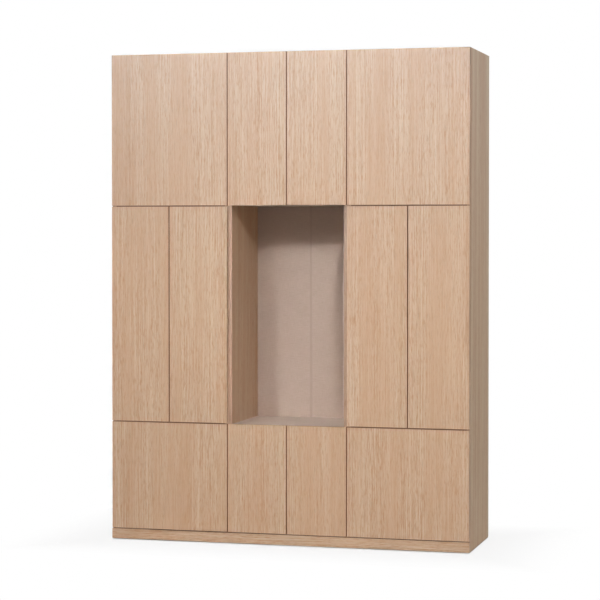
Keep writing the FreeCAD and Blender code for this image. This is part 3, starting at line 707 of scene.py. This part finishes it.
def round_shape(line):
    """A line of (radius, height) points turned about Z into a closed shape."""
    mesh = bmesh.new()
    verts = [mesh.verts.new((radius, 0.0, height)) for radius, height in line]
    edges = [mesh.edges.new(pair) for pair in zip(verts, verts[1:])]
    bmesh.ops.spin(mesh, geom=verts + edges, cent=(0, 0, 0), axis=(0, 0, 1), angle=math.tau,
                   steps=SPIN_STEPS, use_merge=True)
    bmesh.ops.remove_doubles(mesh, verts=mesh.verts, dist=MERGE_DISTANCE)
    bmesh.ops.recalc_face_normals(mesh, faces=mesh.faces)
    return keep_shape(mesh)


def verts_in(geom):
    return [part for part in geom if isinstance(part, bmesh.types.BMVert)]


def edges_in(geom):
    return [part for part in geom if isinstance(part, bmesh.types.BMEdge)]


def screw_head(radius, height):
    """A pan head with a cross recess, its underside at Z 0."""
    mesh = bmesh.new()
    ring = bmesh.ops.create_circle(mesh, segments=HEAD_SEGMENTS, radius=radius * HEAD_FLAT)["verts"]
    bmesh.ops.translate(mesh, vec=(0, 0, height), verts=ring)
    rim = list(mesh.edges)
    arm = radius * RECESS_ARM
    tip = radius * RECESS_TIP
    outline = [(tip, -arm), (tip, arm), (arm, arm), (arm, tip), (-arm, tip), (-arm, arm),
               (-tip, arm), (-tip, -arm), (-arm, -arm), (-arm, -tip), (arm, -tip), (arm, -arm)]
    cross = [mesh.verts.new((x, y, height)) for x, y in outline]
    recess = [mesh.edges.new(pair) for pair in zip(cross, cross[1:] + cross[:1])]
    bmesh.ops.bridge_loops(mesh, edges=rim + recess)
    walls = bmesh.ops.extrude_edge_only(mesh, edges=recess)["geom"]
    bmesh.ops.translate(mesh, vec=(0, 0, -height * RECESS_DEPTH), verts=verts_in(walls))
    bmesh.ops.contextual_create(mesh, geom=edges_in(walls))
    for growth, drop in HEAD_RINGS:
        skirt = bmesh.ops.extrude_edge_only(mesh, edges=rim)["geom"]
        bmesh.ops.scale(mesh, vec=(growth, growth, 1), verts=verts_in(skirt))
        bmesh.ops.translate(mesh, vec=(0, 0, -height * drop), verts=verts_in(skirt))
        rim = edges_in(skirt)
    bmesh.ops.contextual_create(mesh, geom=rim)
    bmesh.ops.recalc_face_normals(mesh, faces=mesh.faces)
    return keep_shape(mesh)


def round_edges(mesh, edges, radius, segments):
    bmesh.ops.bevel(mesh, geom=edges, offset=radius, offset_type="OFFSET", affect="EDGES",
                    segments=segments, profile=0.5, material=-1)


def wing_plate():
    """The plate under a hinge arm: X off the panel, Z up."""
    mesh = bmesh.new()
    bmesh.ops.create_cube(mesh, size=1.0)
    bmesh.ops.scale(mesh, vec=(WING_THICKNESS, WING_DEPTH, WING_HEIGHT), verts=mesh.verts)
    middle = WING_THICKNESS / 2
    bmesh.ops.translate(mesh, vec=(middle, 0, 0), verts=mesh.verts)
    corners = [edge for edge in mesh.edges if abs(edge.verts[0].co.x - edge.verts[1].co.x) > middle]
    round_edges(mesh, corners, WING_CORNER, segments=6)
    outer = [edge for edge in mesh.edges if all(vert.co.x > middle for vert in edge.verts)]
    round_edges(mesh, outer, WING_EDGE, segments=2)
    return keep_shape(mesh)


def at(point, normal):
    """A place for a shape, with its Z along a normal."""
    return Matrix.Translation(point) @ Vector(normal).to_track_quat("Z", "Y").to_matrix().to_4x4()


def set_out(name, shape, places, material, body):
    """One piece made of a shape in many places, riding on a body."""
    mesh = bmesh.new()
    for place in places:
        first = len(mesh.verts)
        mesh.from_mesh(shape)
        mesh.verts.ensure_lookup_table()
        bmesh.ops.transform(mesh, matrix=place, verts=mesh.verts[first:])
    data = bpy.data.meshes.new(name)
    mesh.to_mesh(data)
    mesh.free()
    data.polygons.foreach_set("use_smooth", [True] * len(data.polygons))
    data.set_sharp_from_angle(angle=SMOOTH_ANGLE)
    data.materials.append(material)
    piece = bpy.data.objects.new(name, data)
    bpy.context.scene.collection.objects.link(piece)
    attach(piece, body)


def set_screws(name, size, places, body="carcass"):
    set_out(name, screw_head(*size), places, SCREW_STEEL, body)


# Hinges: inset from a door's ends, plate and arm screws behind the carcass front, screws off the middle
HINGE_END_INSET = 0.1
PLATE_Y = CARCASS_FRONT + 0.034
ARM_SCREWS_Y = (CARCASS_FRONT + 0.014, CARCASS_FRONT + 0.040)
ARM_TOP = 0.0115
WING_SCREW_OFFSET = 0.0185
EAR_SCREW_OFFSET = 0.0227


def hinge_places(door):
    """Inner face of the panel that carries a door, the way into the column, and the hinge levels."""
    edge, count = DOOR_HINGES[door]
    low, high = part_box(door)
    if edge == "left":
        face = low.x - FRONT_INSET + PANEL
        way = 1.0
    else:
        face = high.x + FRONT_INSET - PANEL
        way = -1.0
    span = high.z - low.z - 2 * HINGE_END_INSET
    levels = [low.z + HINGE_END_INSET + span * index / (count - 1) for index in range(count)]
    return face, way, levels


def fit_hinges():
    """Wing plates and their screws, screws on the arms, and screws through the ears of the cups."""
    plates, plate_screws, arm_screws = [], [], []
    for door in DOOR_HINGES:
        face, way, levels = hinge_places(door)
        cups_low, cups_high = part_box(f"{door}_hinge_cups")
        cup_x = (cups_low.x + cups_high.x) / 2
        turn = Matrix.Rotation(0.0 if way > 0 else math.pi, 4, "Z")
        into_column = (way, 0, 0)
        ears = []
        for level in levels:
            plates.append(Matrix.Translation((face, PLATE_Y, level)) @ turn)
            for side in (-1, 1):
                screw_z = level + side * WING_SCREW_OFFSET
                plate_screws.append(at((face + way * WING_THICKNESS, PLATE_Y, screw_z), into_column))
                ears.append(at((cup_x, cups_high.y, level + side * EAR_SCREW_OFFSET), (0, 1, 0)))
            for y in ARM_SCREWS_Y:
                arm_screws.append(at((face + way * ARM_TOP, y, level), into_column))
        set_screws(f"{door}_cup_screws", CUP_SCREW, ears, f"{door}_leaf")
    set_out("hinge_wing_plates", wing_plate(), plates, NICKEL, "carcass")
    set_screws("hinge_plate_screws", PLATE_SCREW, plate_screws)
    set_screws("hinge_arm_screws", ARM_SCREW, arm_screws)


# Latches: screws behind the carcass front, below the axis of a plunger
LATCH_SCREWS_Y = (CARCASS_FRONT + 0.0075, CARCASS_FRONT + 0.0535)
LATCH_DROP = 0.008

# Soft stops: in from the free edge and from the ends of a door
BUMPER_INSET_X = 0.012
BUMPER_INSET_Z = 0.0035


def fit_latches():
    """Screws under the latch bodies, and soft stops behind the free edge of each door."""
    screws, bumpers = [], []
    for door, (edge, _) in DOOR_HINGES.items():
        low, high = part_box(f"{door}_latch_plunger")
        middle = (low + high) / 2
        for y in LATCH_SCREWS_Y:
            screws.append(at((middle.x, y, middle.z - LATCH_DROP), (0, 0, -1)))
        low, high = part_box(door)
        x = high.x - BUMPER_INSET_X if edge == "left" else low.x + BUMPER_INSET_X
        for z in (low.z + BUMPER_INSET_Z, high.z - BUMPER_INSET_Z):
            bumpers.append(at((x, CARCASS_FRONT, z), (0, -1, 0)))
    set_screws("latch_screws", LATCH_SCREW, screws)
    set_out("door_bumpers", round_shape(BUMPER_LINE), bumpers, BUMPER_RUBBER, "carcass")


# Cam covers: in from the side panels, the carcass front and the decks' rear edge
COVER_INSET_X = 0.034
COVER_ROWS = (CARCASS_FRONT + 0.08, DECK_END - 0.06)


def deck_underside(lower, upper):
    """The underside of the deck behind the gap between two fronts."""
    return (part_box(lower)[1].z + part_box(upper)[0].z) / 2 - PANEL / 2


def fit_cam_covers():
    """Covers over the joint cams, on the side of each board that a cupboard hides."""
    low_deck = deck_underside("left_drawer_front", "left_mid_door_l")
    high_deck = deck_underside("left_mid_door_l", "left_top_door")
    niche_floor = DECKS_LOW.z
    niche_ceiling = DECKS_HIGH.z
    closed_column = ((low_deck, -1), (high_deck, -1), (TOP_UNDERSIDE, -1))
    niche_column = ((niche_floor, -1), (niche_ceiling, 1), (TOP_UNDERSIDE, -1))
    places = []
    for centre, boards in zip(COLUMN_CENTRES, (closed_column, niche_column, closed_column)):
        for z, look in boards:
            for side in (-1, 1):
                x = centre + side * (COLUMN / 2 - PANEL - COVER_INSET_X)
                for y in COVER_ROWS:
                    places.append(at((x, y, z), (0, 0, look)))
    set_out("cam_covers", round_shape(CAM_COVER_LINE), places, COVER_PLASTIC, "carcass")


# Rail flanges: thickness under their screws, and the screws off the rail's axis
FLANGE_THICKNESS = 0.0019
FLANGE_SCREW_OFFSET = 0.0215


def fit_rail():
    """A flange with two screws around each rail socket."""
    low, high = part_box("hanging_rail")
    middle = (low + high) / 2
    flanges, screws = [], []
    for x, way in ((low.x, 1), (high.x, -1)):
        flanges.append(at((x, middle.y, middle.z), (way, 0, 0)))
        for side in (-1, 1):
            screw_z = middle.z + side * FLANGE_SCREW_OFFSET
            screws.append(at((x + way * FLANGE_THICKNESS, middle.y, screw_z), (way, 0, 0)))
    set_out("rail_flanges", round_shape(RAIL_FLANGE_LINE), flanges, RAIL_METAL, "carcass")
    set_screws("rail_flange_screws", FLANGE_SCREW, screws)


# Tie bolts: head radius and height, and the rows in from the carcass front and the decks' rear edge
BOLT_HEAD_RADIUS = 0.007
BOLT_HEAD_HEIGHT = 0.0025
BOLT_ROWS = (CARCASS_FRONT + 0.1, DECK_END - 0.1)

# Wall brackets: half the pitch of the screws, their line before the wall, thickness of the sheet
BRACKET_HALF_PITCH = 0.032
BRACKET_SCREW_Y = WALL_LINE - 0.024
BRACKET_SHEET = 0.0025


def fit_bolts_and_brackets():
    """Cross recesses on the tie bolts, and screws that hold the wall brackets up."""
    bolts_low, bolts_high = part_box("column_tie_bolts")
    caps = []
    for boundary in (-COLUMN / 2, COLUMN / 2):
        for y in BOLT_ROWS:
            for z in (bolts_low.z + BOLT_HEAD_RADIUS, bolts_high.z - BOLT_HEAD_RADIUS):
                for way in (-1, 1):
                    caps.append(at((boundary + way * (PANEL + BOLT_HEAD_HEIGHT), y, z), (way, 0, 0)))
    set_screws("tie_bolt_caps", BOLT_CAP, caps)
    screws = []
    for centre in COLUMN_CENTRES:
        for x in (centre - BRACKET_HALF_PITCH, centre + BRACKET_HALF_PITCH):
            screws.append(at((x, BRACKET_SCREW_Y, TOP_UNDERSIDE - BRACKET_SHEET), (0, 0, -1)))
    set_screws("bracket_screws", BRACKET_SCREW, screws)


# Drawer boxes: wall thickness, front screws in from the sides, screw levels above the bottom of the box
BOX_WALL = 0.015
FRONT_SCREW_INSET = 0.075
FRONT_SCREW_LEVELS = (0.075, 0.215)
CORNER_SCREW_LEVELS = (0.115, 0.235)


def fit_drawers():
    """Screws that hold each front to its box, and the corner screws of the box."""
    for side in DRAWERS:
        low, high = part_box(f"{side}_drawer_box")
        front, corners = [], []
        for x in (low.x + FRONT_SCREW_INSET, high.x - FRONT_SCREW_INSET):
            for level in FRONT_SCREW_LEVELS:
                front.append(at((x, low.y + BOX_WALL, low.z + level), (0, 1, 0)))
        for x, way in ((low.x, -1), (high.x, 1)):
            for y in (low.y + BOX_WALL / 2, high.y - BOX_WALL / 2):
                for level in CORNER_SCREW_LEVELS:
                    corners.append(at((x, y, low.z + level), (way, 0, 0)))
        body = f"{side}_drawer"
        set_screws(f"{side}_drawer_front_screws", DRAWER_FRONT_SCREW, front, body)
        set_screws(f"{side}_drawer_corner_screws", DRAWER_CORNER_SCREW, corners, body)


# Floor: how white the camera sees it close by and further out, and where it fades into the background
FLOOR_RADIUS = 6.0
FLOOR_SEGMENTS = 96
FLOOR_GREY = (0.72, 0.72, 0.72, 1)
NEAR_WHITE = 0.86
FAR_WHITE = 1.0
SHADOW_REACH = 0.5
FADE_START = 0.8
FADE_END = 3.0


def make_floor():
    """A pale round floor that keeps the wardrobe's shadow and fades into the white around it."""
    mesh = bmesh.new()
    bmesh.ops.create_circle(mesh, cap_ends=True, segments=FLOOR_SEGMENTS, radius=FLOOR_RADIUS)
    data = bpy.data.meshes.new("floor")
    mesh.to_mesh(data)
    mesh.free()
    floor = bpy.data.objects.new("floor", data)
    bpy.context.scene.collection.objects.link(floor)

    material = bpy.data.materials.new("pale_floor")
    material.use_nodes = True
    material.node_tree.nodes.clear()
    sheet = Sheet(material.node_tree)
    seen = sheet.put("ShaderNodeLightPath").outputs
    plain = sheet.put("ShaderNodeBsdfDiffuse", {"Color": FLOOR_GREY}).outputs[0]
    white = sheet.put("ShaderNodeEmission", {"Strength": 1.0}).outputs[0]
    clear = sheet.put("ShaderNodeBsdfTransparent").outputs[0]
    x, y, _ = sheet.split(sheet.place())
    beside = sheet.less(sheet.calc("ABSOLUTE", x), cad_high.x)
    before = sheet.less(sheet.calc("ABSOLUTE", y), cad_high.y)
    outside = sheet.calc("MAXIMUM", beside, before)
    open_floor = sheet.calc("GREATER_THAN", outside, 0.0)
    rise = sheet.times(sheet.ramp(outside, 0.0, SHADOW_REACH), FAR_WHITE - NEAR_WHITE)
    whiteness = sheet.times(sheet.add(NEAR_WHITE, rise), open_floor)
    whiteness = sheet.times(whiteness, seen["Is Camera Ray"])
    lifted = sheet.put("ShaderNodeMixShader", {0: whiteness, 1: plain, 2: white}).outputs[0]
    fade = sheet.ramp(outside, FADE_START, FADE_END)
    faded = sheet.put("ShaderNodeMixShader", {0: fade, 1: lifted, 2: clear}).outputs[0]
    sheet.put("ShaderNodeOutputMaterial", {"Surface": faded})
    data.materials.append(material)


# World: the even light, and how bright reflections see it below the horizon and above
EVEN_TONE = (1.0, 0.985, 0.965, 1)
EVEN_STRENGTH = 0.33
BELOW_HORIZON = 0.15
ABOVE_HORIZON = 1.0
HORIZON_LOW = -0.03
HORIZON_HIGH = 0.085


def make_world():
    """Even light for the object, white for the camera, and in reflections white above a dark lower half."""
    world = bpy.data.worlds.new("studio")
    bpy.context.scene.world = world
    world.use_nodes = True
    world.node_tree.nodes.clear()
    sheet = Sheet(world.node_tree)
    seen = sheet.put("ShaderNodeLightPath").outputs
    shown = sheet.calc("MAXIMUM", seen["Is Camera Ray"], seen["Is Glossy Ray"])
    shown = sheet.calc("MAXIMUM", shown, seen["Is Transmission Ray"])
    height = sheet.split(sheet.put("ShaderNodeTexCoord").outputs["Generated"])[HEIGHT]
    rise = sheet.times(sheet.ramp(height, HORIZON_LOW, HORIZON_HIGH), ABOVE_HORIZON - BELOW_HORIZON)
    level = sheet.calc("MAXIMUM", sheet.add(BELOW_HORIZON, rise), seen["Is Camera Ray"])
    even = sheet.put("ShaderNodeBackground", {"Color": EVEN_TONE, "Strength": EVEN_STRENGTH}).outputs[0]
    white = sheet.put("ShaderNodeBackground", {"Color": (1, 1, 1, 1), "Strength": level}).outputs[0]
    mixed = sheet.put("ShaderNodeMixShader", {0: shown, 1: even, 2: white}).outputs[0]
    sheet.put("ShaderNodeOutputWorld", {"Surface": mixed})


# Height that the lamps aim at
LAMP_AIM_Z = 1.1


def softbox(name, bearing, rise, distance, width, height, power, spread=180.0, aim_x=0.0):
    """A soft lamp aimed at the niche: bearing right of straight ahead, rise and spread in degrees."""
    aim = Vector((aim_x, CARCASS_FRONT, LAMP_AIM_Z))
    turn = math.radians(bearing)
    lift = math.radians(rise)
    way = Vector((math.sin(turn) * math.cos(lift), -math.cos(turn) * math.cos(lift), math.sin(lift)))
    data = bpy.data.lights.new(name, "AREA")
    data.shape = "RECTANGLE"
    data.size = width
    data.size_y = height
    data.energy = power
    data.spread = math.radians(spread)
    lamp = bpy.data.objects.new(name, data)
    lamp.location = aim + way * distance
    lamp.rotation_euler = way.to_track_quat("Z", "Y").to_euler()
    bpy.context.scene.collection.objects.link(lamp)
    return lamp


def make_lights():
    """Two softboxes, a fill at the right, a fill from behind, and a card that only reflections show."""
    softbox("left_softbox", bearing=-13.0, rise=23.3, distance=15.0, width=1.6, height=1.1, power=13.4,
            spread=26.0)
    softbox("right_softbox", bearing=19.5, rise=26.0, distance=15.0, width=1.7, height=1.4, power=18.0,
            spread=26.0, aim_x=0.3)
    softbox("right_fill", bearing=82.0, rise=12.0, distance=5.0, width=2.5, height=2.5, power=17.0)
    rear = softbox("rear_fill", bearing=180.0, rise=14.0, distance=8.0, width=1.6, height=3.0, power=9.5,
                   spread=28.0)
    rear.visible_glossy = False
    sheen = softbox("sheen_card", bearing=-15.5, rise=26.0, distance=6.6, width=5.0, height=2.2,
                    power=1130.0)
    sheen.visible_diffuse = False


# Camera: tilt and turn in degrees, focal length in pixels of the picture
CAMERA_PLACE = (2.6083, -9.6450, 1.5350)
CAMERA_TILT = -1.14
CAMERA_TURN = 15.152
CAMERA_SHIFT = -0.05
FOCAL_PIXELS = 2008.8
IMAGE_PIXELS = 600.0
SENSOR = 36.0


def make_camera():
    data = bpy.data.cameras.new("camera")
    data.sensor_width = SENSOR
    data.lens = FOCAL_PIXELS / IMAGE_PIXELS * SENSOR
    data.shift_y = CAMERA_SHIFT
    camera = bpy.data.objects.new("camera", data)
    camera.location = CAMERA_PLACE
    camera.rotation_euler = (math.radians(90.0 + CAMERA_TILT), 0.0, math.radians(CAMERA_TURN))
    bpy.context.scene.collection.objects.link(camera)
    bpy.context.scene.camera = camera


dress_nodes()
fit_hinges()
fit_latches()
fit_cam_covers()
fit_rail()
fit_bolts_and_brackets()
fit_drawers()
make_floor()
make_world()
make_lights()
make_camera()
bpy.context.scene.view_settings.view_transform = "Standard"
